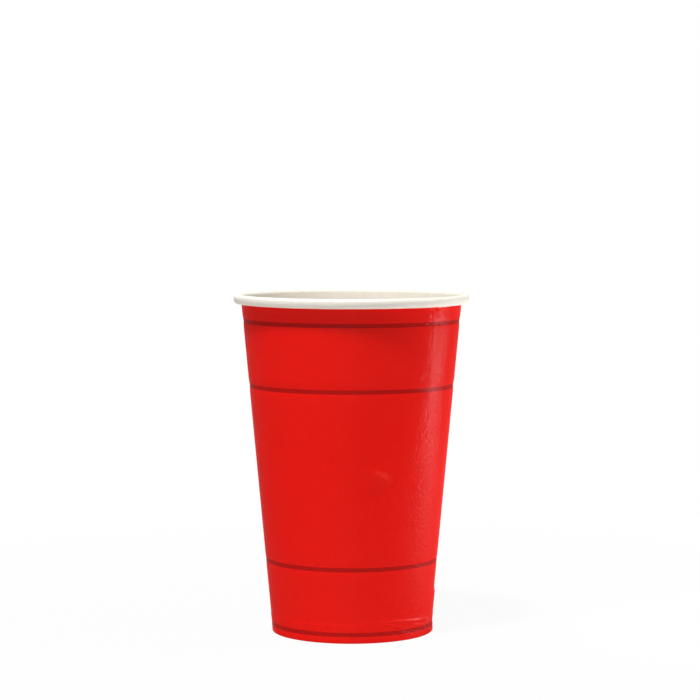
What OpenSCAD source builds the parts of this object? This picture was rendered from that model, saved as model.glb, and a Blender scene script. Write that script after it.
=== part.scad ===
// Paper event cup: a wrapped and printed sidewall with a rolled rim, and the base disc held in its foot.
// The origin is the middle of the foot, +Z is up and the front is -Y. Sizes are in millimetres.

/* [Cup] */
// Height from the foot to the top of the rim
cup_h = 129.4; // [100:0.2:160]
// Outer diameter of the rolled rim
rim_d = 90; // [84:0.5:100]
// Outer diameter of the foot
foot_d = 60.5; // [50:0.5:70]

/* [Board] */
// Thickness of the sidewall's board
board_t = 0.4; // [0.3:0.02:0.5]
// Thickness of the base disc's board
disc_t = 0.4; // [0.3:0.02:0.6]
// Gap that a seal leaves between two layers of board
seal_gap = 0.03; // [0.01:0.01:0.08]

/* [Rim roll] */
// Width of the roll, from its inner side to its outer side
roll_w = 3.2; // [2.9:0.1:4]
// Height of the roll
roll_h = 3.6; // [3.3:0.1:4.5]
// Outer radius of the curl that tucks the cut edge away inside the roll
tuck_r = 1.15; // [1:0.05:1.3]
// Angle that this curl turns through
tuck_turn = 110; // [60:5:140]

/* [Foot] */
// Height of the hem, which is the sidewall's edge folded up inside the foot
hem_h = 6.5; // [3:0.25:7.5]
// Height of the base panel's underside above the foot
recess_h = 8; // [8:0.25:14]
// Outer radius of each of the fold's two corners
fold_r = 0.5; // [0.5:0.02:0.62]
// Outer radius of the bend between the base panel and its skirt
skirt_r = 0.9; // [0.7:0.05:1.5]
// Gap between the skirt's lower edge and the fold
skirt_gap = 0.3; // [0.1:0.05:1]

/* [Side seam] */
// Width over which one end of the sidewall laps over the other
seam_w = 7.5; // [5:0.25:10]
// Turn of the seam's middle line from the front towards +X, in degrees
seam_turn = 105; // [0:5:355]

/* [Print] */
// Width of each stripe
stripe_w = 1.6; // [0.8:0.1:4]
// Height of the lowest stripe's middle line above the foot
foot_stripe_up = 3.4; // [3:0.1:10]
// Depth of the highest stripe's middle line below the top of the rim
rim_stripe_down = 10; // [7:0.1:20]
// Distance between the two stripes of each pair
stripe_pitch = 24.65; // [10:0.05:35]
// Height to which the print runs up the hem inside the foot
hem_print_up = 2; // [1:0.25:2.75]
// Colour of the printed ground
ground_colour = "#de1f17"; // [#de1f17, #1f4fae, #1d7a3c]
// Colour of the stripes
stripe_colour = "#ae130d"; // [#ae130d, #163a80, #135229]
// Colour of the bare board
board_colour = "#f4efe6"; // [#f4efe6, #ffffff, #c9a77c]

/* [Hidden] */
$fn = 180;
// Largest angle between two points of a bend
bend_step = 10;
// Depth by which a cutter runs past a face
bite = 0.2;

// Middles of the fold's outer corner and of the roll's upper arc, in the section
fold_c = [foot_d / 2 - fold_r, fold_r];
crown_r = roll_w / 2;
crown_c = [rim_d / 2 - crown_r, cup_h - crown_r];

// The wall's inner face touches the roll's inner side, and its outer face touches the fold's corner.
// The wall is the line between those two arcs that crosses from one side to the other.
span = crown_c - fold_c;
lean = atan2(span[0], span[1]) - asin((crown_r + fold_r - board_t) / norm(span));

// Radius, at height z, of a line that runs d inside the wall's outer face
function wall_x(z, d) = fold_c[0] + (fold_r - d) / cos(lean) + (z - fold_c[1]) * tan(lean);

// The same for the hem, whose outer face looks into the foot
function hem_x(z, d) = hem_c[0] - (fold_r - d) / cos(lean) + (z - hem_c[1]) * tan(lean);

// The wall is a plain cone between these heights, with the fold below it and the roll above it
cone_lo = fold_r;
cone_hi = crown_c[1];

// The roll's lower arc closes against the wall's outer face
roll_lo = cup_h - roll_h;
heel_r = (rim_d / 2 - wall_x(roll_lo, 0) - seal_gap) / (2 + tan(lean));
heel_c = [rim_d / 2 - heel_r, roll_lo + heel_r];
tuck_c = [heel_c[0] - heel_r + tuck_r, heel_c[1]];

// The fold leaves room for the skirt between the wall and the hem
slot_w = disc_t + 2 * seal_gap;
hem_c = fold_c - [(slot_w + 2 * board_t - 2 * fold_r) / cos(lean), 0];

// The skirt lies along the wall's inner face
skirt_lo = board_t + skirt_gap;
panel_top = recess_h + disc_t;
skirt_c = [wall_x(panel_top - skirt_r, board_t + seal_gap + skirt_r), panel_top - skirt_r];

// The print ends behind the roll's lower arc, and the stripes lie in two pairs
print_hi = roll_lo + heel_r / 2;
high_stripe = cup_h - rim_stripe_down;
stripes = [foot_stripe_up, foot_stripe_up + stripe_pitch, high_stripe - stripe_pitch, high_stripe];

// Edges of the printed fields from the foot up: ground and stripe take turns
edges = concat(cone_lo, [for (z = stripes) each [z - stripe_w / 2, z + stripe_w / 2]], print_hi);

// Points of an arc of radius r about c, from angle a to angle b
function arc(c, r, a, b) = let (n = ceil(abs(b - a) / bend_step))
    [for (i = [0:n]) let (t = a + (b - a) * i / n) c + r * [cos(t), sin(t)]];

function backwards(list) = [for (i = [len(list) - 1:-1:0]) list[i]];

// Section of the fold, from the printed part of the hem round to the wall: d is the depth below the outer face
function fold_face(d) = concat(
    [[hem_x(hem_print_up, d), hem_print_up]],
    arc(hem_c, fold_r - d, -180 - lean, -90),
    arc(fold_c, fold_r - d, -90, -lean),
    [[wall_x(cone_lo, d), cone_lo]]);

// Section of the hem's bare part, which runs up beside the skirt
function hem_face(d) = [for (z = [hem_print_up, hem_h]) [hem_x(z, d), z]];

// Section of the roll, from the wall's head over the top and down, in under itself and up to the cut edge
function roll_face(d) = concat(
    [[wall_x(print_hi, board_t - d), print_hi]],
    arc(crown_c, crown_r - d, 180 - lean, 0),
    arc(heel_c, heel_r - d, 0, -180),
    arc(tuck_c, tuck_r - d, -180, -180 - tuck_turn));

// Section of the base disc: d is the depth below its upper face
function disc_face(d) = concat(
    [[0, panel_top - d]],
    arc(skirt_c, skirt_r - d, 90, -lean),
    [[wall_x(skirt_lo, board_t + seal_gap + d), skirt_lo]]);

// Turns the board between two faces into a ring
module ring(face_a, face_b) {
    rotate_extrude() polygon(concat(face_a, backwards(face_b)));
}

// Solid cone between two heights, d inside the wall's outer face
module cone(lo, hi, d) {
    translate([0, 0, lo]) cylinder(r1 = wall_x(lo, d), r2 = wall_x(hi, d), h = hi - lo);
}

// The printed part of the wall as solid fields of colour, one on top of the other
module printed_fields(d) {
    for (i = [0:len(edges) - 2])
        color(i % 2 == 1 ? stripe_colour : ground_colour) cone(edges[i], edges[i + 1], d);
}

// The lap of the side seam: a second layer of board on the outside of the wall
module seam_lap() {
    intersection() {
        printed_fields(-board_t);
        rotate([0, 0, seam_turn - 90]) translate([0, -seam_w / 2, 0]) cube([rim_d, seam_w, cup_h]);
    }
}

// The wall with its seam, hollowed along its inner face
module wall() {
    difference() {
        union() {
            printed_fields(0);
            seam_lap();
        }
        color(board_colour) cone(cone_lo - bite, cone_hi, board_t);
    }
}

module fold() {
    color(ground_colour) ring(fold_face(0), fold_face(board_t));
}

module hem() {
    color(board_colour) ring(hem_face(0), hem_face(board_t));
}

module rim_roll() {
    color(board_colour) ring(roll_face(0), roll_face(board_t));
}

module sidewall() {
    wall();
    fold();
    hem();
    rim_roll();
}

module base_disc() {
    color(board_colour) ring(disc_face(0), disc_face(disc_t));
}

sidewall();
base_disc();
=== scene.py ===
"""Looks of the paper event cup, worked out in millimetres and written to the meshes in metres.

The sidewall is one sheet of board. Its section is a curve whose direction turns evenly along each
bend, and the sheet is swept round the axis until its two ends lap at the side seam. The base disc
is a second sheet with its edge turned down between the sidewall and the hem. An azimuth is in
degrees from the front, which is -Y, towards +X.
"""

import logging
import math
from dataclasses import dataclass
from enum import Enum, IntEnum

import bmesh
import bpy
import numpy as np
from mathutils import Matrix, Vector


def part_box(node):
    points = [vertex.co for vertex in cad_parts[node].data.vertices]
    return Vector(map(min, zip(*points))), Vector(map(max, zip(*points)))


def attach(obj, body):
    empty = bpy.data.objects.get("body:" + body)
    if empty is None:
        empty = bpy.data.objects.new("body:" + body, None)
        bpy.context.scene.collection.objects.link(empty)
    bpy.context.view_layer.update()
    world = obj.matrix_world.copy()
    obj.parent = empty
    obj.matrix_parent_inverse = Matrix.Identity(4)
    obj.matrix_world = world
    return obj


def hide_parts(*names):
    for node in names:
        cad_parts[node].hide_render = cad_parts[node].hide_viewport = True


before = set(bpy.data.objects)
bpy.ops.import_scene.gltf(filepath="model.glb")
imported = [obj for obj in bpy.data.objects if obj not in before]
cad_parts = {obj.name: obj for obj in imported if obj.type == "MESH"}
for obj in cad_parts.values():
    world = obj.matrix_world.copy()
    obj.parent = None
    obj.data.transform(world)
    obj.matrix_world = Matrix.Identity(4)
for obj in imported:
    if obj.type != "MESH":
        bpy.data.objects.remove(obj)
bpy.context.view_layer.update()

log = logging.getLogger("cup")

MM = 0.001
IMAGE_PIXELS = 700
SHARP_ANGLE = 50
MERGE_DISTANCE = 1e-7


class Side(IntEnum):
    """Material slots of a sheet of board."""

    BOARD = 0
    PRINT = 1
    CUT = 2


class Piece(Enum):
    """The cup's two sheets: name of the piece, CAD node that it stands for and material slot."""

    SIDEWALL = ("sidewall_board", "sidewall", "printed_board")
    BASE_DISC = ("base_disc_board", "base_disc", "plain_board")


def smooth(x: np.ndarray, lo: float, hi: float) -> np.ndarray:
    """Smooth step from 0 to 1: three t squared less two t cubed, where t runs from 0 at lo to 1 at hi.

    Args:
        x: Values to read the step at.
        lo: Value where the step starts.
        hi: Value where the step ends.

    Returns:
        The step at each value.
    """
    t = np.clip((x - lo) / (hi - lo), 0, 1)
    return t * t * (3 - 2 * t)


def bell(x: np.ndarray, width: float) -> np.ndarray:
    """Bell curve: e to the power of minus the square of x over width.

    Args:
        x: Distances from the bell's middle.
        width: Distance at which the bell has fallen to 0.37.

    Returns:
        The bell's height, which is 1 in its middle.
    """
    return np.exp(-((x / width) ** 2))


def turned(azimuth: np.ndarray, middle: float) -> np.ndarray:
    """Shortest turn from one azimuth to others.

    Args:
        azimuth: Azimuths in degrees.
        middle: Azimuth that the turn is measured from, in degrees.

    Returns:
        Turns between -180 and 180 degrees.
    """
    return (azimuth - middle + 180) % 360 - 180


def gathered(lo: float, hi: float, count: int, spots: list[tuple[float, float, float]]) -> np.ndarray:
    """Values from lo to hi that lie closer together near some spots.

    The density is 1 plus a bell for each spot. Its running sum is cut into even shares, and the
    values are where the shares end.

    Args:
        lo: First value.
        hi: Last value.
        count: Number of values.
        spots: Middle, width and gain of each bell.

    Returns:
        The values in rising order.
    """
    fine = np.linspace(lo, hi, 6001)
    density = 1 + sum(gain * bell(fine - middle, width) for middle, width, gain in spots)
    running = np.concatenate([[0], np.cumsum(density[1:] + density[:-1])])
    return np.interp(np.linspace(0, running[-1], count), running, fine)


def ripple(azimuth: np.ndarray, orders: range, size: float, seed: int) -> np.ndarray:
    """Uneven wave round the cup: a sum of cosines of whole orders, with drawn sizes and phases.

    Args:
        azimuth: Azimuths in degrees.
        orders: Numbers of waves that fit round the cup.
        size: Typical height of the wave.
        seed: Seed of the draw.

    Returns:
        The wave's height at each azimuth.
    """
    rng = np.random.default_rng(seed)
    wave = np.zeros_like(azimuth, dtype=float)
    for order in orders:
        weight, phase = rng.uniform(0.4, 1), rng.uniform(0, 2 * math.pi)
        wave = wave + weight * np.cos(order * np.radians(azimuth) + phase)
    return size * wave / math.sqrt(len(orders))


@dataclass(frozen=True)
class Run:
    """A stretch of a section: a straight line, or an arc that turns to the left by `turn` degrees."""

    name: str
    length: float
    turn: float = 0
    rows: int = 2


def arc(name: str, radius: float, turn: float, rows: int) -> Run:
    """A bend of one radius: its length is the radius times its turn in radians.

    Args:
        name: Name of the run.
        radius: Radius of the sheet's middle line.
        turn: Turn to the left in degrees.
        rows: Number of rows of points that the bend gets.

    Returns:
        The run.
    """
    return Run(name, radius * math.radians(abs(turn)), turn, rows)


class Section:
    """Middle line of a sheet in the half plane of radius and height.

    The heading is piecewise linear in the arc length: it holds still along a straight run and
    turns evenly along a bend. The point is the start plus the running sum of the cosine and the
    sine of the heading.
    """

    STEP = 0.01

    def __init__(self, start: tuple[float, float], heading: float, runs: list[Run]) -> None:
        """Lays the runs one after another.

        Args:
            start: Radius and height of the first point.
            heading: First heading, in degrees from the outward direction towards up.
            runs: The stretches in order.
        """
        self.runs = runs
        self.knots = np.concatenate([[0], np.cumsum([run.length for run in runs])])
        headings = heading + np.concatenate([[0], np.cumsum([run.turn for run in runs])])
        count = int(self.knots[-1] / self.STEP) + 2
        self.fine = np.linspace(0, self.knots[-1], count)
        self.heading = np.radians(np.interp(self.fine, self.knots, headings))
        along = np.stack([np.cos(self.heading), np.sin(self.heading)], axis=1)
        moves = (along[1:] + along[:-1]) / 2 * np.diff(self.fine)[:, None]
        self.line = np.array(start) + np.concatenate([[[0, 0]], np.cumsum(moves, axis=0)])

    def span(self, name: str) -> tuple[float, float]:
        """Arc lengths at which the named run starts and ends."""
        i = [run.name for run in self.runs].index(name)
        return self.knots[i], self.knots[i + 1]

    def at(self, s: np.ndarray) -> tuple[np.ndarray, np.ndarray]:
        """Points of the middle line and directions to its left.

        Args:
            s: Arc lengths.

        Returns:
            Points and unit vectors, each as rows of radius and height.
        """
        points = np.stack([np.interp(s, self.fine, self.line[:, k]) for k in (0, 1)], axis=1)
        heading = np.interp(s, self.fine, self.heading)
        return points, np.stack([-np.sin(heading), np.cos(heading)], axis=1)

    def rows(self, extra: np.ndarray) -> np.ndarray:
        """Arc lengths of the mesh's rows: even steps along each run, and some extra values.

        Args:
            extra: Arc lengths that are wanted as well.

        Returns:
            The arc lengths in rising order.
        """
        steps = [np.linspace(*self.span(run.name), run.rows) for run in self.runs]
        values = np.unique(np.round(np.concatenate([*steps, extra]), 4))
        apart = np.concatenate([[True], np.diff(values) > 0.02])
        return values[apart]


@dataclass(frozen=True)
class CupSizes:
    """Sizes of the cup in millimetres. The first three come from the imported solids."""

    height: float
    rim_radius: float
    panel_top: float
    foot_radius: float = 30.25
    board: float = 0.4
    seal_gap: float = 0.03
    fold_radius: float = 0.5
    hem_height: float = 6.5
    hem_print: float = 2.0
    roll_width: float = 3.2
    roll_height: float = 3.6
    shoulder_radius: float = 1.45
    lip_radius: float = 1.15
    flank_start: float = 2.0
    flank_end: float = 20.0
    tuck_radius: float = 0.95
    tuck_turn: float = 110.0
    skirt_foot: float = 0.7
    skirt_radius: float = 0.9
    seam_azimuth: float = 105.0
    seam_width: float = 7.5
    seam_ramp: float = 3.0
    rim_margin: float = 0.08

    @classmethod
    def from_frame(cls) -> "CupSizes":
        """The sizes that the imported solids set: height, rim and level of the base panel."""
        low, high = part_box(Piece.SIDEWALL.value[1])
        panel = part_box(Piece.BASE_DISC.value[1])[1].z
        return cls(height=high.z / MM, rim_radius=(high.x - low.x) / 2 / MM, panel_top=panel / MM)

    @property
    def fold_x(self) -> float:
        """Radius of the middle of the fold's outer corner."""
        return self.foot_radius - self.fold_radius

    @property
    def shoulder(self) -> tuple[float, float]:
        """Middle of the roll's inner upper bend."""
        x = self.rim_radius - self.roll_width + self.shoulder_radius
        return x, self.height - self.shoulder_radius

    @property
    def wall_length(self) -> float:
        """Length of the straight wall between the fold's corner and the roll's shoulder."""
        across, up = self.shoulder[0] - self.fold_x, self.shoulder[1] - self.fold_radius
        return math.sqrt(across**2 + up**2 - (self.shoulder_radius + self.fold_radius - self.board) ** 2)

    @property
    def lean(self) -> float:
        """Lean of the wall in radians: the crossing tangent of the fold's corner and the shoulder."""
        across, up = self.shoulder[0] - self.fold_x, self.shoulder[1] - self.fold_radius
        reach = self.shoulder_radius + self.fold_radius - self.board
        return math.atan2(across, up) - math.asin(reach / math.hypot(across, up))

    def wall_x(self, z: float, depth: float) -> float:
        """Radius at height z of the line that runs `depth` inside the wall's outer face."""
        at_fold = self.fold_x + (self.fold_radius - depth) / math.cos(self.lean)
        return at_fold + (z - self.fold_radius) * math.tan(self.lean)

    @property
    def roll_radii(self) -> tuple[float, float]:
        """Radii of the roll's flank and of its heel, the bend that closes against the wall.

        The drops of the lip, the flank and the heel add up to the roll's height, and the heel's
        middle lies its radius and the seal gap off the wall. Both conditions are linear in the
        two radii.
        """
        first, last = math.radians(self.flank_start), math.radians(self.flank_end)
        low = self.height - self.roll_height
        slope, cosine = math.tan(self.lean), math.cos(self.lean)
        reach = self.rim_radius - self.lip_radius * (1 - math.cos(first)) - self.wall_x(low, 0)
        terms = [
            [math.sin(last) - math.sin(first), 1 - math.sin(last)],
            [(math.cos(first) - math.cos(last)) * cosine, (math.cos(last) + slope) * cosine + 1],
        ]
        sums = [self.roll_height - self.lip_radius * (1 + math.sin(first)), reach * cosine - self.seal_gap]
        flank, heel = np.linalg.solve(terms, sums)
        return float(flank), float(heel)

    def sidewall_section(self) -> Section:
        """The sidewall's section from the hem's cut edge round the fold, up and round the roll."""
        lean, half = math.degrees(self.lean), self.board / 2
        corner = self.fold_radius - half
        slot = self.board + 2 * self.seal_gap
        gap = (slot + 2 * self.board - 2 * self.fold_radius) / math.cos(self.lean)
        hem_x = self.fold_x - gap
        rise = self.hem_height - self.fold_radius
        hem = (rise - corner * math.sin(self.lean)) / math.cos(self.lean)
        start = (hem_x - corner / math.cos(self.lean) + rise * math.tan(self.lean), self.hem_height)
        first, last = self.flank_start, self.flank_end
        flank_radius, heel_radius = self.roll_radii
        top = self.roll_width - self.shoulder_radius - self.lip_radius
        return Section(start, -90 - lean, [
            Run("hem", hem, 0, 7),
            arc("inner_corner", corner, 90 + lean, 7),
            Run("foot", gap, 0, 2),
            arc("outer_corner", corner, 90 - lean, 7),
            Run("wall", self.wall_length, 0, 2),
            arc("shoulder", self.shoulder_radius - half, lean - 90, 9),
            Run("top", top, 0, 3),
            arc("lip", self.lip_radius - half, -90 - first, 9),
            arc("flank", flank_radius - half, first - last, 5),
            arc("heel", heel_radius - half, last - 180 - lean, 12),
            arc("tuck", self.tuck_radius - half, -self.tuck_turn, 6),
        ])

    def disc_section(self) -> Section:
        """The base disc's section from its middle out to the bend and down to the skirt's cut edge."""
        half, lean = self.board / 2, self.lean
        middle_z = self.panel_top - self.skirt_radius
        middle_x = self.wall_x(middle_z, self.board + self.seal_gap) - self.skirt_radius / math.cos(lean)
        bend = self.skirt_radius - half
        skirt = (middle_z - bend * math.sin(lean) - self.skirt_foot) / math.cos(lean)
        return Section((0, self.panel_top - half), 0, [
            Run("panel", middle_x, 0, 34),
            arc("bend", bend, -90 - math.degrees(lean), 9),
            Run("skirt", skirt, 0, 10),
        ])


@dataclass(frozen=True)
class Stripe:
    """A printed stripe: height of its middle and depth of the shallow groove that runs along it."""

    z: float
    groove: float


STRIPE_WIDTH = 1.6
STRIPES = (Stripe(3.4, 0.06), Stripe(28.05, 0.1), Stripe(94.75, 0.2), Stripe(119.4, 0.2))


@dataclass(frozen=True)
class Spot:
    """A bell-shaped part of the way round the cup, with the size that it has in its middle."""

    azimuth: float
    width: float
    size: float

    def at(self, azimuth: np.ndarray) -> np.ndarray:
        """The spot's size at each azimuth."""
        return self.size * bell(turned(azimuth, self.azimuth), self.width)


@dataclass(frozen=True)
class Crimp:
    """A short ridge pressed into the board, which climbs by its slope for each millimetre round."""

    azimuth: float
    z: float
    slope: float
    length: float
    width: float
    height: float

    def at(self, azimuth: np.ndarray, z: np.ndarray, radius: float) -> np.ndarray:
        """The ridge's height: a bell across it times a bell along it.

        Args:
            azimuth: Azimuths in degrees.
            z: Heights.
            radius: Radius of the wall where the ridge is.

        Returns:
            Outward moves.
        """
        along = np.radians(turned(azimuth, self.azimuth)) * radius
        across = z - self.z - self.slope * along
        return self.height * bell(across, self.width) * bell(along, self.length)


CRIMPS = (
    Crimp(47, 7.4, -0.065, 5.8, 0.4, 0.25),
    Crimp(64, 6.4, -0.25, 2.0, 0.35, 0.18),
    Crimp(26, 7.9, -0.02, 6.0, 0.4, 0.1),
    Crimp(57, 4.9, -0.1, 4.0, 0.4, 0.1),
)


@dataclass(frozen=True)
class CupForm:
    """How the real cup's board departs from a true cone, in millimetres."""

    sizes: CupSizes
    groove_width: float = 1.25
    hem_swell: float = 0.1
    hem_step: float = 1.6
    foot_flare: float = 0.06
    bulge: Spot = Spot(92, 15, 0.45)
    bulge_top: float = 16.0
    flare: Spot = Spot(90, 42, 0.42)
    flare_top: float = 4.5
    small_crimps: int = 26
    crimp_azimuths: tuple[float, float] = (22, 84)
    crimp_heights: tuple[float, float] = (1, 7)
    crimp_slopes: tuple[float, float] = (-0.4, 0.4)
    crimp_rises: tuple[float, float] = (0.04, 0.1)
    crimp_length: float = 1.3
    crimp_width: float = 0.4
    sag: Spot = Spot(-112, 24, 0.28)
    crease: Spot = Spot(52, 2.2, 0.16)
    nick_azimuth: float = 10.4
    nick_z: float = 56.6
    nick_radius: float = 9.7
    nick_angle: float = 62.0
    nick_spread: float = 36.0
    nick: float = 0.4
    nick_fade: float = 8.0
    # Painted highlight along the crescent: its share and how fast it fades towards the middle.
    nick_highlight: float = 0.72
    nick_highlight_fade: float = 3.0
    pit: Crimp = Crimp(24.2, 59.1, 0, 0.9, 0.9, -0.16)
    pimple: Crimp = Crimp(22.8, 56.1, 0, 0.8, 0.8, 0.12)

    def grooves(self, z: np.ndarray) -> np.ndarray:
        """Depth of the grooves along the stripes: a bell over the height for each of them."""
        return sum(stripe.groove * bell(z - stripe.z, self.groove_width) for stripe in STRIPES)

    def nick_mark(self, azimuth: np.ndarray, z: np.ndarray) -> np.ndarray:
        """Raised crescent on the front, left by a knock from the inside, with a pit and a pimple.

        Args:
            azimuth: Azimuths in degrees.
            z: Heights.

        Returns:
            Outward moves.
        """
        radius = self.sizes.wall_x(self.nick_z, 0)
        marks = self.pit.at(azimuth, z, radius) + self.pimple.at(azimuth, z, radius)
        return self.nick * self.crescent(azimuth, z, self.nick_fade) + marks

    def crescent(self, azimuth: np.ndarray, z: np.ndarray, fade: float) -> np.ndarray:
        """The crescent's profile: a step just inside the circle that fades towards its middle.

        Args:
            azimuth: Azimuths in degrees.
            z: Heights.
            fade: Distance over which it falls to 0.37.

        Returns:
            The profile, which is at most 1.
        """
        dx = np.radians(turned(azimuth, self.nick_azimuth)) * self.sizes.wall_x(self.nick_z, 0)
        dz = z - self.nick_z
        inside = self.nick_radius - np.hypot(dx, dz)
        angle = np.degrees(np.arctan2(dz, dx))
        falling = np.exp(-np.maximum(inside, 0) / fade)
        return smooth(inside, -0.3, 1.6) * falling * bell(angle - self.nick_angle, self.nick_spread)

    def foot_shape(self, azimuth: np.ndarray, z: np.ndarray) -> np.ndarray:
        """Swelling of the foot, most of all beside the seam, where the board has many layers.

        A step at the hem's top goes all round, a higher step stands beside the seam, and the
        lowest part flares.

        Args:
            azimuth: Azimuths in degrees.
            z: Heights.

        Returns:
            Outward moves.
        """
        hem_top = self.sizes.hem_height
        hem = self.hem_swell * (1 - smooth(z, hem_top, hem_top + self.hem_step))
        high = self.bulge.at(azimuth) * (1 - smooth(z, self.bulge_top - 1, self.bulge_top + 1))
        low = (self.foot_flare + self.flare.at(azimuth)) * (1 - smooth(z, 0.2, self.flare_top))
        return hem + high + low

    def crimp_marks(self, azimuth: np.ndarray, z: np.ndarray) -> np.ndarray:
        """Ridges along the hem's top on the right, and small ones drawn at random below them.

        Args:
            azimuth: Azimuths in degrees.
            z: Heights.

        Returns:
            Outward moves.
        """
        rng = np.random.default_rng(31)
        small = [
            Crimp(
                rng.uniform(*self.crimp_azimuths), rng.uniform(*self.crimp_heights),
                rng.uniform(*self.crimp_slopes), self.crimp_length, self.crimp_width,
                rng.uniform(*self.crimp_rises),
            )
            for _ in range(self.small_crimps)
        ]
        radius = self.sizes.wall_x(5, 0)
        return sum(crimp.at(azimuth, z, radius) for crimp in (*CRIMPS, *small))

    def print_wear_and_highlight(self, azimuth: np.ndarray, z: np.ndarray) -> np.ndarray:
        """How far the print is paled: rubbed print and a painted highlight on the creases, by their
        height over that of the highest, and a painted highlight along the crescent.

        Args:
            azimuth: Azimuths in degrees.
            z: Heights.

        Returns:
            Wear and painted highlight from 0 to 1.
        """
        creases = self.crimp_marks(azimuth, z) / CRIMPS[0].height
        # The crescent's pale arc is a painted highlight.
        crescent = self.nick_highlight * self.crescent(azimuth, z, self.nick_highlight_fade)
        return np.clip(np.maximum(creases, crescent), 0, 1)

    def swell(self, azimuth: np.ndarray, z: np.ndarray) -> np.ndarray:
        """Outward move of all layers of board: what the cup is out of round, and the foot's swelling.

        The waves are shifted inward toward the rim, so that no part of it stands out past its radius.

        Args:
            azimuth: Azimuths in degrees.
            z: Heights.

        Returns:
            Outward moves.
        """
        high = smooth(z, 20, self.sizes.height)
        broad, small = ripple(azimuth, range(2, 6), 0.05, 11), ripple(azimuth, range(3, 9), 0.03, 12)
        loose = broad * high + small - (broad.max() + small.max()) * high
        return loose + self.foot_shape(azimuth, z)

    def rim_lift(self, azimuth: np.ndarray) -> np.ndarray:
        """Height by which the roll falls short of its top, uneven round the cup and never above it."""
        wave = np.abs(ripple(azimuth, range(2, 12), 0.05, 13)) + 0.02
        return -(wave + self.sag.at(azimuth) + self.crease.at(azimuth))


@dataclass(frozen=True)
class SheetMesh:
    """Closed mesh of a sheet from its right and left faces, each a grid of rows, columns and 3."""

    right: np.ndarray
    left: np.ndarray
    joined: bool
    right_slots: np.ndarray
    left_slots: np.ndarray

    def faces(self) -> tuple[np.ndarray, np.ndarray]:
        """Quads that close the sheet, and the material slot of each.

        The right face's quads run along a row first and the left face's along a column first, so
        both point away from the board. Strips join the two faces along the last row, and along the
        other three edges where the columns don't join up. Where they do, the first row is a pole.

        Returns:
            Corner numbers as rows of four, and the slots.
        """
        rows, cols = self.right.shape[:2]
        right = np.arange(rows * cols).reshape(rows, cols)
        left = right + rows * cols
        if self.joined:
            right = np.concatenate([right, right[:, :1]], axis=1)
            left = np.concatenate([left, left[:, :1]], axis=1)
        right_quads = (right[:-1, :-1], right[:-1, 1:], right[1:, 1:], right[1:, :-1])
        left_quads = (left[:-1, :-1], left[1:, :-1], left[1:, 1:], left[:-1, 1:])
        quads = [np.stack(right_quads, axis=-1), np.stack(left_quads, axis=-1)]
        across = right.shape[1] - 1
        slots = [np.repeat(s[:, None], across, axis=1) for s in (self.right_slots, self.left_slots)]
        strips = [(right[-1, :-1], right[-1, 1:], left[-1, 1:], left[-1, :-1])]
        if not self.joined:
            strips += [
                (right[0, :-1], left[0, :-1], left[0, 1:], right[0, 1:]),
                (right[:-1, 0], right[1:, 0], left[1:, 0], left[:-1, 0]),
                (right[:-1, -1], left[:-1, -1], left[1:, -1], right[1:, -1]),
            ]
        corners = [q.reshape(-1, 4) for q in quads] + [np.stack(s, axis=-1) for s in strips]
        ends = np.where(self.right_slots == Side.PRINT, int(Side.CUT), int(Side.BOARD))
        numbers = [s.reshape(-1) for s in slots]
        numbers += [ends if len(s[0]) == len(ends) else np.full(len(s[0]), int(Side.CUT)) for s in strips]
        return np.concatenate(corners), np.concatenate(numbers)

    def build(
        self, name: str, uv: np.ndarray | None = None, wear_and_highlight: np.ndarray | None = None
    ) -> bpy.types.Object:
        """Makes the object: the grid's points in metres, closed at a pole, smooth but for its cut edges.

        Args:
            name: Name of the object.
            uv: Grid of rows, columns and 2 that both faces share, or None.
            wear_and_highlight: Grid of rows and columns of rubbed print and painted highlight,
            from 0 to 1, that both faces share, or None.

        Returns:
            The new object, linked to the scene.
        """
        corners, slots = self.faces()
        points = np.concatenate([self.right.reshape(-1, 3), self.left.reshape(-1, 3)]) * MM
        mesh = bpy.data.meshes.new(name)
        mesh.from_pydata(points.tolist(), [], corners.tolist())
        mesh.polygons.foreach_set("material_index", slots.astype(np.int32))
        if uv is not None:
            layer = mesh.uv_layers.new(name="sheet")
            both = np.concatenate([uv.reshape(-1, 2)] * 2)
            layer.data.foreach_set("uv", both[corners.reshape(-1)].astype(np.float32).reshape(-1))
        # Rubbed print and painted highlight, kept as a point attribute for the material.
        if wear_and_highlight is not None:
            share = mesh.attributes.new("wear_and_highlight", "FLOAT", "POINT")
            share.data.foreach_set("value", np.concatenate([wear_and_highlight.reshape(-1)] * 2).astype(np.float32))
        if self.joined:
            work = bmesh.new()
            work.from_mesh(mesh)
            bmesh.ops.remove_doubles(work, verts=work.verts, dist=MERGE_DISTANCE)
            work.to_mesh(mesh)
            work.free()
        mesh.shade_smooth()
        mesh.set_sharp_from_angle(angle=math.radians(SHARP_ANGLE))
        mesh.validate()
        made = bpy.data.objects.new(name, mesh)
        bpy.context.scene.collection.objects.link(made)
        return made


def swept(radius: np.ndarray, height: np.ndarray, azimuth: np.ndarray) -> np.ndarray:
    """Points on circles round the axis: radius times sine, minus radius times cosine, and the height."""
    radius, height, turn = np.broadcast_arrays(radius, height, np.radians(azimuth))
    return np.stack([radius * np.sin(turn), -radius * np.cos(turn), height], axis=-1)


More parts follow.
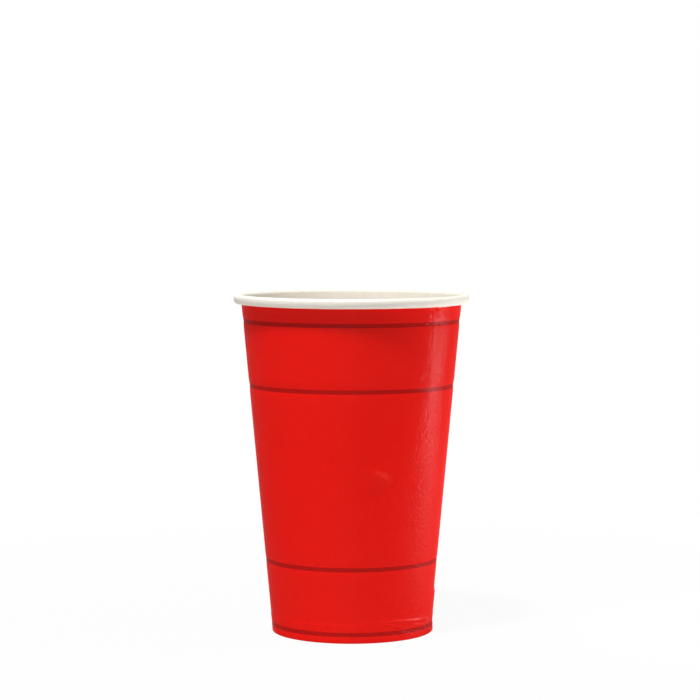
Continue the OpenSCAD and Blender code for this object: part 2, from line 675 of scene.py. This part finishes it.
@dataclass(frozen=True)
class Sidewall:
    """The printed sheet that makes the wall, the rolled rim and the hem.

    The grooves and the nick stop between two distances below the roll, and the uneven rim starts
    between two distances below the top.
    """

    sizes: CupSizes
    form: CupForm
    columns: int = 316
    wall_rows: int = 92
    lap_end: float = -0.3
    lift_width: float = 6.0
    lift_top: float = 12.0
    lift_edges: tuple[float, float] = (0.05, 0.6)
    calm_below_roll: tuple[float, float] = (6.0, 1.0)
    rim_start: tuple[float, float] = (12.0, 4.0)

    def wall_steps(self, section: Section) -> np.ndarray:
        """Arc lengths of the wall's rows, closer together where it has grooves, creases and a nick."""
        first, last = section.span("wall")
        start = section.at(np.array([first]))[0][0, 1]
        rate = math.cos(self.sizes.lean)
        spots = [(s.z, 1.9, 2.6) for s in STRIPES] + [(6.8, 2.2, 8.5), (16, 1.5, 2.5), (61, 5.5, 2.6)]
        z = gathered(start, start + (last - first) * rate, self.wall_rows, spots)
        return first + (z - start) / rate

    def print_limits(self, section: Section) -> tuple[float, float]:
        """Arc lengths at which the print starts on the hem and ends just under the roll."""
        hem, wall = section.span("hem"), section.span("wall")
        rate = math.cos(self.sizes.lean)
        low = hem[1] - (self.sizes.hem_print - self.sizes.fold_radius) / rate
        high = self.sizes.height - self.sizes.roll_height - self.sizes.rim_margin
        return low, wall[0] + (high - self.sizes.fold_radius) / rate

    def wall_share(self, s: np.ndarray, section: Section) -> np.ndarray:
        """Column that rises from 0 on the hem to 1 on the wall, along the foot's outer corner."""
        return smooth(s[:, None], section.span("outer_corner")[0], section.span("wall")[0])

    def place(self, s: np.ndarray, share: np.ndarray, section: Section, depth: float) -> np.ndarray:
        """Points of one face of the sheet.

        The sheet starts half the seam's width before the seam's middle and ends half of it past
        the middle after a full turn, so its azimuth is the seam's plus the share of that sweep.
        Near its end it climbs by its own thickness on to its start. The sheet's normal carries
        the climb and the depth of the face, and the form moves the result outward and down.

        Args:
            s: Arc lengths of the rows.
            share: Share of the sweep at each column, from 0 to 1.
            section: The sheet's section.
            depth: Distance of the face to the left of the sheet's middle line.

        Returns:
            Grid of rows, columns and 3.
        """
        line, left = section.at(s)
        radius, height = line[:, :1], line[:, 1:]
        half = np.degrees(self.sizes.seam_width / 2 / radius)
        azimuth = self.sizes.seam_azimuth - half + share[None, :] * (360 + 2 * half)
        ahead = (self.sizes.seam_azimuth + 360 - half - azimuth) * np.radians(radius)
        layer = self.sizes.board + self.sizes.seal_gap
        climb = (1 - smooth(ahead, self.lap_end, self.sizes.seam_ramp)) * layer
        out = depth - climb
        r = radius + out * left[:, :1]
        z = height + out * left[:, 1:]
        seam = bell(turned(azimuth, self.sizes.seam_azimuth) * np.radians(radius), self.lift_width)
        low = 1 - smooth(height, 0, self.lift_top)
        z = z + layer * low * smooth(seam, *self.lift_edges)
        on_wall = self.wall_share(s, section)
        top, (calm_first, calm_last) = section.span("wall")[1], self.calm_below_roll
        off_roll = 1 - smooth(s[:, None], top - calm_first, top - calm_last)
        r = r + self.form.swell(azimuth, height)
        r = r - on_wall * off_roll * self.form.grooves(height)
        r = r + on_wall * off_roll * self.form.nick_mark(azimuth, height)
        r = r + on_wall * self.form.crimp_marks(azimuth, height)
        first, last = (self.sizes.height - below for below in self.rim_start)
        z = z + self.form.rim_lift(azimuth) * smooth(height, first, last)
        return swept(r, np.maximum(z, 0), azimuth)

    def build(self) -> bpy.types.Object:
        """Makes the sheet's mesh.

        Returns:
            The object, with a UV map of millimetres round the cup and along the section.
        """
        section = self.sizes.sidewall_section()
        limits = self.print_limits(section)
        s = section.rows(np.concatenate([self.wall_steps(section), limits]))
        share = gathered(0, 1, self.columns, [(0.81, 0.09, 0.8), (0.0, 0.012, 2), (1.0, 0.02, 3)])
        half = self.sizes.board / 2
        right = self.place(s, share, section, -half)
        left = self.place(s, share, section, half)
        middle = (s[1:] + s[:-1]) / 2
        printed = (middle > limits[0]) & (middle < limits[1])
        mesh = SheetMesh(
            right, left, False,
            np.where(printed, int(Side.PRINT), int(Side.BOARD)),
            np.full(len(middle), int(Side.BOARD)),
        )
        round_mm = share * 2 * math.pi * self.sizes.foot_radius
        uv = np.stack(np.broadcast_arrays(round_mm[None, :], s[:, None]), axis=-1)
        azimuth = self.sizes.seam_azimuth + share[None, :] * 360
        # Share of rubbed print and painted highlight on the creases and the crescent.
        wear_and_highlight = self.form.print_wear_and_highlight(azimuth, section.at(s)[0][:, 1:]) * self.wall_share(s, section)
        return mesh.build(Piece.SIDEWALL.value[0], uv, wear_and_highlight)


@dataclass(frozen=True)
class BaseDisc:
    """The plain sheet that closes the cup, with its skirt held between the wall and the hem."""

    sizes: CupSizes
    form: CupForm
    columns: int = 288
    pleats: int = 96
    pleat_depth: float = 0.05
    dish: float = 0.25
    ring_radius: float = 26.5
    ring_depth: float = 0.12

    def place(self, s: np.ndarray, azimuth: np.ndarray, section: Section, depth: float) -> np.ndarray:
        """Points of one face of the disc.

        The panel is dished a little and has a pressed ring, the bend has pleats that press
        inward, and the skirt follows the wall.

        Args:
            s: Arc lengths of the rows.
            azimuth: Azimuths of the columns.
            section: The disc's section.
            depth: Distance of the face to the left of the sheet's middle line.

        Returns:
            Grid of rows, columns and 3.
        """
        line, left = section.at(s)
        line, left = line[:, None, :], left[:, None, :]
        radius, height = line[..., 0], line[..., 1]
        r = radius + depth * left[..., 0]
        z = height + depth * left[..., 1]
        edge = section.span("bend")[0]
        share = np.clip(radius / edge, 0, 1)
        azimuth = azimuth[None, :]
        flat = 1 - smooth(s[:, None], edge - 2, edge)
        z = z - self.dish * (1 - share**2) ** 2 * flat
        z = z - self.ring_depth * bell(radius - self.ring_radius, 0.8) * flat
        pleat = 0.5 - 0.5 * np.cos(self.pleats * np.radians(azimuth) + ripple(azimuth, range(3, 9), 1.2, 21))
        r = r - self.pleat_depth * pleat * smooth(s[:, None], edge - 1.2, edge + 0.8)
        r = r + self.form.swell(azimuth, height) * smooth(share, 0.8, 1)
        return swept(r, z, azimuth)

    def build(self) -> bpy.types.Object:
        """Makes the disc's mesh, closed at its middle by a pole.

        Returns:
            The object.
        """
        section = self.sizes.disc_section()
        s = section.rows(np.array([]))
        azimuth = np.linspace(0, 360, self.columns, endpoint=False)
        half = self.sizes.board / 2
        right = self.place(s, azimuth, section, -half)
        left = self.place(s, azimuth, section, half)
        plain = np.full(len(s) - 1, int(Side.BOARD))
        return SheetMesh(right, left, True, plain, plain).build(Piece.BASE_DISC.value[0])


class Value:
    """A shader socket whose arithmetic adds Math nodes."""

    def __init__(self, tree: "Tree", socket: bpy.types.NodeSocket) -> None:
        """Keeps the socket and the tree that it is in."""
        self.tree = tree
        self.socket = socket

    def math(self, operation: str, *others: object, clamp: bool = False) -> "Value":
        """A Math node that starts with this value.

        Args:
            operation: Operation of the node.
            others: Its other operands, numbers or values.
            clamp: Whether the result is kept between 0 and 1.

        Returns:
            The node's result.
        """
        settings = {"operation": operation, "use_clamp": clamp}
        return self.tree.node("ShaderNodeMath", settings, dict(enumerate((self, *others))))

    def __add__(self, other: object) -> "Value":
        """This plus other."""
        return self.math("ADD", other)

    __radd__ = __add__

    def __mul__(self, other: object) -> "Value":
        """This times other."""
        return self.math("MULTIPLY", other)

    __rmul__ = __mul__

    def __sub__(self, other: object) -> "Value":
        """This less other."""
        return self.math("SUBTRACT", other)

    def __rsub__(self, other: object) -> "Value":
        """Other less this."""
        return self.tree.node("ShaderNodeMath", {"operation": "SUBTRACT"}, {0: other, 1: self})

    def __truediv__(self, other: object) -> "Value":
        """This over other."""
        return self.math("DIVIDE", other)

    def __abs__(self) -> "Value":
        """Size of this without its sign."""
        return self.math("ABSOLUTE")

    def step(self, lo: float, hi: float) -> "Value":
        """Smooth step of this value from 0 at lo to 1 at hi."""
        settings = {"interpolation_type": "SMOOTHSTEP"}
        return self.tree.node("ShaderNodeMapRange", settings, {0: self, 1: lo, 2: hi, 3: 0.0, 4: 1.0})


class Tree:
    """A node tree that is being filled."""

    def __init__(self, owner: bpy.types.Material | bpy.types.World) -> None:
        """Empties the owner's tree."""
        owner.use_nodes = True
        self.tree = owner.node_tree
        self.tree.nodes.clear()

    def node(self, kind: str, settings: dict, inputs: dict, output: int | str = 0) -> Value:
        """Adds any node.

        Args:
            kind: Type of the node.
            settings: Its properties, which are set first.
            inputs: Value, number, colour or vector for each input, by name or number.
            output: Name or number of the output that is wanted.

        Returns:
            That output.
        """
        made = self.tree.nodes.new(kind)
        for name, setting in settings.items():
            setattr(made, name, setting)
        for name, given in inputs.items():
            if isinstance(given, Value):
                self.tree.links.new(given.socket, made.inputs[name])
            else:
                made.inputs[name].default_value = given
        return Value(self, made.outputs[output])

    def place(self, axis: str | None = None) -> Value:
        """Object coordinates in metres, or one of X, Y and Z."""
        where = self.node("ShaderNodeTexCoord", {}, {}, "Object")
        return where if axis is None else self.node("ShaderNodeSeparateXYZ", {}, {0: where}, axis)

    def noise(self, grain: float, detail: float = 2.0, stretch: tuple = (1, 1, 1)) -> Value:
        """Noise with lumps about `grain` millimetres across, from 0 to 1 and 0.5 on average."""
        where = self.node("ShaderNodeMapping", {}, {"Vector": self.place(), "Scale": stretch})
        inputs = {"Vector": where, "Scale": 1 / (grain * MM), "Detail": detail}
        return self.node("ShaderNodeTexNoise", {}, inputs, "Fac")

    def mix(self, share: Value | float, first: object, second: object) -> Value:
        """Colour that runs from first to second as the share runs from 0 to 1."""
        return self.node("ShaderNodeMix", {"data_type": "RGBA"}, {0: share, 6: first, 7: second}, 2)

    def bump(self, height: Value, depth: float) -> Value:
        """Bump of a height whose unit stands for `depth` millimetres."""
        inputs = {"Height": height, "Strength": 1.0, "Distance": depth * MM}
        return self.node("ShaderNodeBump", {}, inputs, "Normal")

    def finish(self, shader: Value, kind: str = "ShaderNodeOutputMaterial") -> None:
        """Connects the shader to the output."""
        end = self.tree.nodes.new(kind)
        self.tree.links.new(shader.socket, end.inputs["Surface"])


def linear(code: str) -> tuple[float, float, float, float]:
    """Linear colour of a hexadecimal sRGB code.

    Args:
        code: Six hexadecimal digits after a #.

    Returns:
        Red, green, blue and an alpha of 1.
    """
    parts = [int(code[i : i + 2], 16) / 255 for i in (1, 3, 5)]
    return (*(p / 12.92 if p <= 0.04045 else ((p + 0.055) / 1.055) ** 2.4 for p in parts), 1.0)


@dataclass(frozen=True)
class PrintedBoard:
    """Coated board with a red ground and darker stripes, under a thin coat with a fine grain.

    The creases are rubbed towards a pale colour, which also stands as a painted highlight on their
    ridges and along the crescent. The coat is lumpier on the hem, and lower down it is a little
    thicker and softer. Each edge is a pair of heights that such a change runs between.
    """

    ground: str = "#ec1208"
    worn: str = "#ed150a"
    stripe: str = "#b40b06"
    soft_edge: float = 0.1
    # Pale pink of rubbed print, which also stands as a painted highlight on the crease ridges and the
    # crescent.
    bare_and_highlight: str = "#f4a094"
    bare_and_highlight_share: float = 0.4
    roughness: float = 0.45
    level: float = 0.006
    grain: float = 0.75
    grain_depth: float = 0.12
    coat: float = 0.0055
    low_coat: float = 0.003
    coat_roughness: float = 0.07
    soft_coat: float = 0.36
    coat_grain: float = 1.2
    coat_depth: float = 0.27
    foot_grain: float = 0.8
    foot_edge: tuple[float, float] = (7.0, 9.0)
    low_edge: tuple[float, float] = (10.0, 95.0)
    soft_edge_of_coat: tuple[float, float] = (50.0, 104.0)

    def stripe_share(self, tree: Tree) -> Value:
        """1 on the stripes and 0 elsewhere: for each stripe a soft step of the distance in height."""
        z = tree.place("Z") / MM + (tree.noise(3.0) - 0.5) * 0.12
        half, soft = STRIPE_WIDTH / 2, self.soft_edge
        shares = [1 - abs(z - stripe.z).step(half - soft, half + soft) for stripe in STRIPES]
        return shares[0] + shares[1] + shares[2] + shares[3]

    def material(self) -> bpy.types.Material:
        """The finish as a material."""
        made = bpy.data.materials.new("printed_board")
        tree = Tree(made)
        mottle = tree.noise(9.0, 3.0).step(0.35, 0.75) * 0.5
        red = tree.mix(mottle, linear(self.ground), linear(self.worn))
        print_colour = tree.mix(self.stripe_share(tree), red, linear(self.stripe))
        wear_and_highlight = tree.node("ShaderNodeAttribute", {"attribute_name": "wear_and_highlight"}, {}, "Fac")
        # Paling towards pink: rubbed print, and a painted highlight on the creases and the crescent.
        rubbed_and_highlight = wear_and_highlight * wear_and_highlight * tree.noise(0.8).step(0.3, 0.6) * self.bare_and_highlight_share
        colour = tree.mix(rubbed_and_highlight, print_colour, linear(self.bare_and_highlight))
        fine = tree.noise(self.grain, 1.0) * 0.65 + tree.noise(self.grain * 0.45, 1.0) * 0.35
        shader = tree.node("ShaderNodeBsdfPrincipled", {}, {
            "Base Color": colour,
            "Roughness": self.roughness + (tree.noise(2.2) - 0.5) * 0.08,
            "Specular IOR Level": self.level,
            "Normal": tree.bump(fine, self.grain_depth),
        })
        height = tree.place("Z") / MM
        pressed, low, soft = (
            1 - height.step(*edge) for edge in (self.foot_edge, self.low_edge, self.soft_edge_of_coat)
        )
        lumps = (tree.noise(self.coat_grain, 0.0, (1, 1, 1.2)) - 0.5) * (1 + self.foot_grain * pressed)
        coat = tree.node("ShaderNodeBsdfPrincipled", {}, {
            "Base Color": (1, 1, 1, 1),
            "Metallic": 1.0,
            "Roughness": soft * self.soft_coat + self.coat_roughness,
            "Normal": tree.bump(lumps, self.coat_depth),
        })
        share = low * self.low_coat + self.coat
        tree.finish(tree.node("ShaderNodeMixShader", {}, {0: share, 1: shader, 2: coat}))
        return made


@dataclass(frozen=True)
class PlainBoard:
    """Bare coated board: warm off-white with faint fibres."""

    colour: str = "#f4eee3"
    shade: str = "#f0e9dc"
    roughness: float = 0.65

    def material(self) -> bpy.types.Material:
        """The finish as a material."""
        made = bpy.data.materials.new("plain_board")
        tree = Tree(made)
        fibres = tree.noise(1.4, 4.0, (1, 1, 0.5)).step(0.3, 0.8)
        colour = tree.mix(fibres, linear(self.colour), linear(self.shade))
        shader = tree.node("ShaderNodeBsdfPrincipled", {}, {
            "Base Color": colour,
            "Roughness": self.roughness,
            "Normal": tree.bump(tree.noise(0.6, 2.0), 0.02),
        })
        tree.finish(shader)
        return made


@dataclass(frozen=True)
class CutBoard:
    """A cut edge of the board, with its fibres open."""

    colour: str = "#eee4d3"
    shade: str = "#dccbae"

    def material(self) -> bpy.types.Material:
        """The finish as a material."""
        made = bpy.data.materials.new("cut_board")
        tree = Tree(made)
        colour = tree.mix(tree.noise(0.5, 3.0), linear(self.colour), linear(self.shade))
        shader = tree.node("ShaderNodeBsdfPrincipled", {}, {
            "Base Color": colour,
            "Roughness": 0.9,
            "Normal": tree.bump(tree.noise(0.25, 2.0), 0.05),
        })
        tree.finish(shader)
        return made


@dataclass(frozen=True)
class Lamp:
    """A square or oblong lamp that faces the cup. Its level is what a white face turned to it shows.

    A lamp can light matt faces only, or only be mirrored in gloss.
    """

    name: str
    azimuth: float
    elevation: float
    distance: float
    size: tuple[float, float]
    level: float
    matt: bool = True
    gloss: bool = True
    aim: tuple[float, float, float] = (0, 0, 0.065)

    def build(self) -> None:
        """Makes the lamp. Its power is its level times the square of pi times the distance."""
        turn, rise = math.radians(self.azimuth), math.radians(self.elevation)
        away = Vector((math.sin(turn) * math.cos(rise), -math.cos(turn) * math.cos(rise), math.sin(rise)))
        data = bpy.data.lights.new(self.name, "AREA")
        data.shape = "RECTANGLE"
        data.size, data.size_y = self.size
        data.energy = self.level * (math.pi * self.distance) ** 2
        lamp = bpy.data.objects.new(self.name, data)
        lamp.location = Vector(self.aim) + away * self.distance
        lamp.rotation_euler = away.to_track_quat("Z", "Y").to_euler()
        lamp.visible_camera = False
        lamp.visible_diffuse, lamp.visible_glossy = self.matt, self.gloss
        bpy.context.scene.collection.objects.link(lamp)


@dataclass(frozen=True)
class Studio:
    """White floor and surroundings, lamps, and the camera of the photograph."""

    lamps: tuple[Lamp, ...] = (
        Lamp("key_lamp", -29, 68, 3.0, (0.32, 0.32), 1.13),
        Lamp("front_lamp", -8, 8, 2.0, (1.4, 1.0), 0.1),
        Lamp("right_glow", 90, 0, 0.2, (0.06, 0.08), 0.41, gloss=False, aim=(0, 0, 0.055)),
        Lamp("right_strip", 100, 0, 0.2, (0.06, 0.11), 0.62, matt=False, aim=(0, 0, 0.056)),
    )
    around: float = 0.18
    floor_radius: float = 6.0
    floor_points: int = 64
    floor_grey: float = 0.6
    floor_white: float = 0.95
    floor_edge: tuple[float, float] = (0.08, 0.4)
    camera_place: tuple[float, float, float] = (-0.00057, -0.959, 0.17365)
    camera_aim: tuple[float, float, float] = (-0.00057, 0, 0.10784)
    focal_pixels: float = 2516.5

    def world(self) -> None:
        """Surroundings that look white and light the cup at a lower level."""
        made = bpy.data.worlds.new("surroundings")
        bpy.context.scene.world = made
        tree = Tree(made)
        strength = self.seen(tree) * (1 - self.around) + self.around
        shader = tree.node("ShaderNodeBackground", {}, {"Color": (1, 1, 1, 1), "Strength": strength})
        tree.finish(shader, "ShaderNodeOutputWorld")

    def seen(self, tree: Tree) -> Value:
        """1 for rays of the camera, of gloss and of clear material, and 0 for the rest."""
        kinds = ("Camera", "Glossy", "Transmission")
        rays = [tree.node("ShaderNodeLightPath", {}, {}, f"Is {kind} Ray") for kind in kinds]
        return rays[0].math("MAXIMUM", rays[1]).math("MAXIMUM", rays[2])

    def floor(self) -> None:
        """A flat disc under the cup. It is seen from above only, and it is white away from the cup."""
        count = self.floor_points
        edge = np.full(count, self.floor_radius / MM)
        points = swept(edge, np.zeros(count), np.arange(count) * 360 / count)
        mesh = bpy.data.meshes.new("floor")
        mesh.from_pydata((points * MM).tolist(), [], [list(range(count))])
        made = bpy.data.objects.new("floor", mesh)
        bpy.context.scene.collection.objects.link(made)
        material = bpy.data.materials.new("floor")
        tree = Tree(material)
        away = tree.node("ShaderNodeVectorMath", {"operation": "LENGTH"}, {0: tree.place()}, "Value")
        white = self.floor_white + (1 - self.floor_white) * away.step(*self.floor_edge)
        grey = (self.floor_grey, self.floor_grey, self.floor_grey, 1)
        matt = tree.node("ShaderNodeBsdfDiffuse", {}, {"Color": grey})
        lit = tree.node("ShaderNodeEmission", {}, {"Color": (1, 1, 1, 1), "Strength": 1.0})
        top = tree.node("ShaderNodeMixShader", {}, {0: white * self.seen(tree), 1: matt, 2: lit})
        under = tree.node("ShaderNodeNewGeometry", {}, {}, "Backfacing")
        clear = tree.node("ShaderNodeBsdfTransparent", {}, {})
        tree.finish(tree.node("ShaderNodeMixShader", {}, {0: under, 1: top, 2: clear}))
        mesh.materials.append(material)

    def camera(self) -> None:
        """The camera whose place and focal length were fitted to the photograph."""
        data = bpy.data.cameras.new("camera")
        data.lens = self.focal_pixels / IMAGE_PIXELS * data.sensor_width
        made = bpy.data.objects.new("camera", data)
        made.location = self.camera_place
        look = Vector(self.camera_aim) - Vector(self.camera_place)
        made.rotation_euler = look.to_track_quat("-Z", "Y").to_euler()
        data.clip_start, data.clip_end = 0.05, 50
        bpy.context.scene.collection.objects.link(made)
        bpy.context.scene.camera = made

    def build(self) -> None:
        """Makes the surroundings, the floor, the lamps and the camera."""
        bpy.context.scene.view_settings.view_transform = "Standard"
        self.world()
        self.floor()
        for lamp in self.lamps:
            lamp.build()
        self.camera()


def dress(made: bpy.types.Object, piece: Piece, finishes: dict[Side, bpy.types.Material]) -> None:
    """Gives a piece its materials, hangs it on the root body, hides the imported part that it
    stands for and logs its triangles.

    Args:
        made: The piece's object.
        piece: Which piece it is.
        finishes: Material for each slot of a sheet.
    """
    name, node, slot = piece.value
    for side in Side:
        made.data.materials.append(finishes[side])
    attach(made, "root")
    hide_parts(node)
    triangles = sum(len(face.vertices) - 2 for face in made.data.polygons)
    log.info("%s: %d triangles", name, triangles)


def main() -> None:
    """Builds the studio, the sidewall and the base disc, and reports each piece."""
    logging.basicConfig(level=logging.INFO, format="%(name)s %(message)s")
    Studio().build()
    sizes = CupSizes.from_frame()
    form = CupForm(sizes)
    finishes = {
        Side.BOARD: PlainBoard().material(),
        Side.PRINT: PrintedBoard().material(),
        Side.CUT: CutBoard().material(),
    }
    dress(Sidewall(sizes, form).build(), Piece.SIDEWALL, finishes)
    dress(BaseDisc(sizes, form).build(), Piece.BASE_DISC, finishes)


if __name__ == "__main__":
    main()
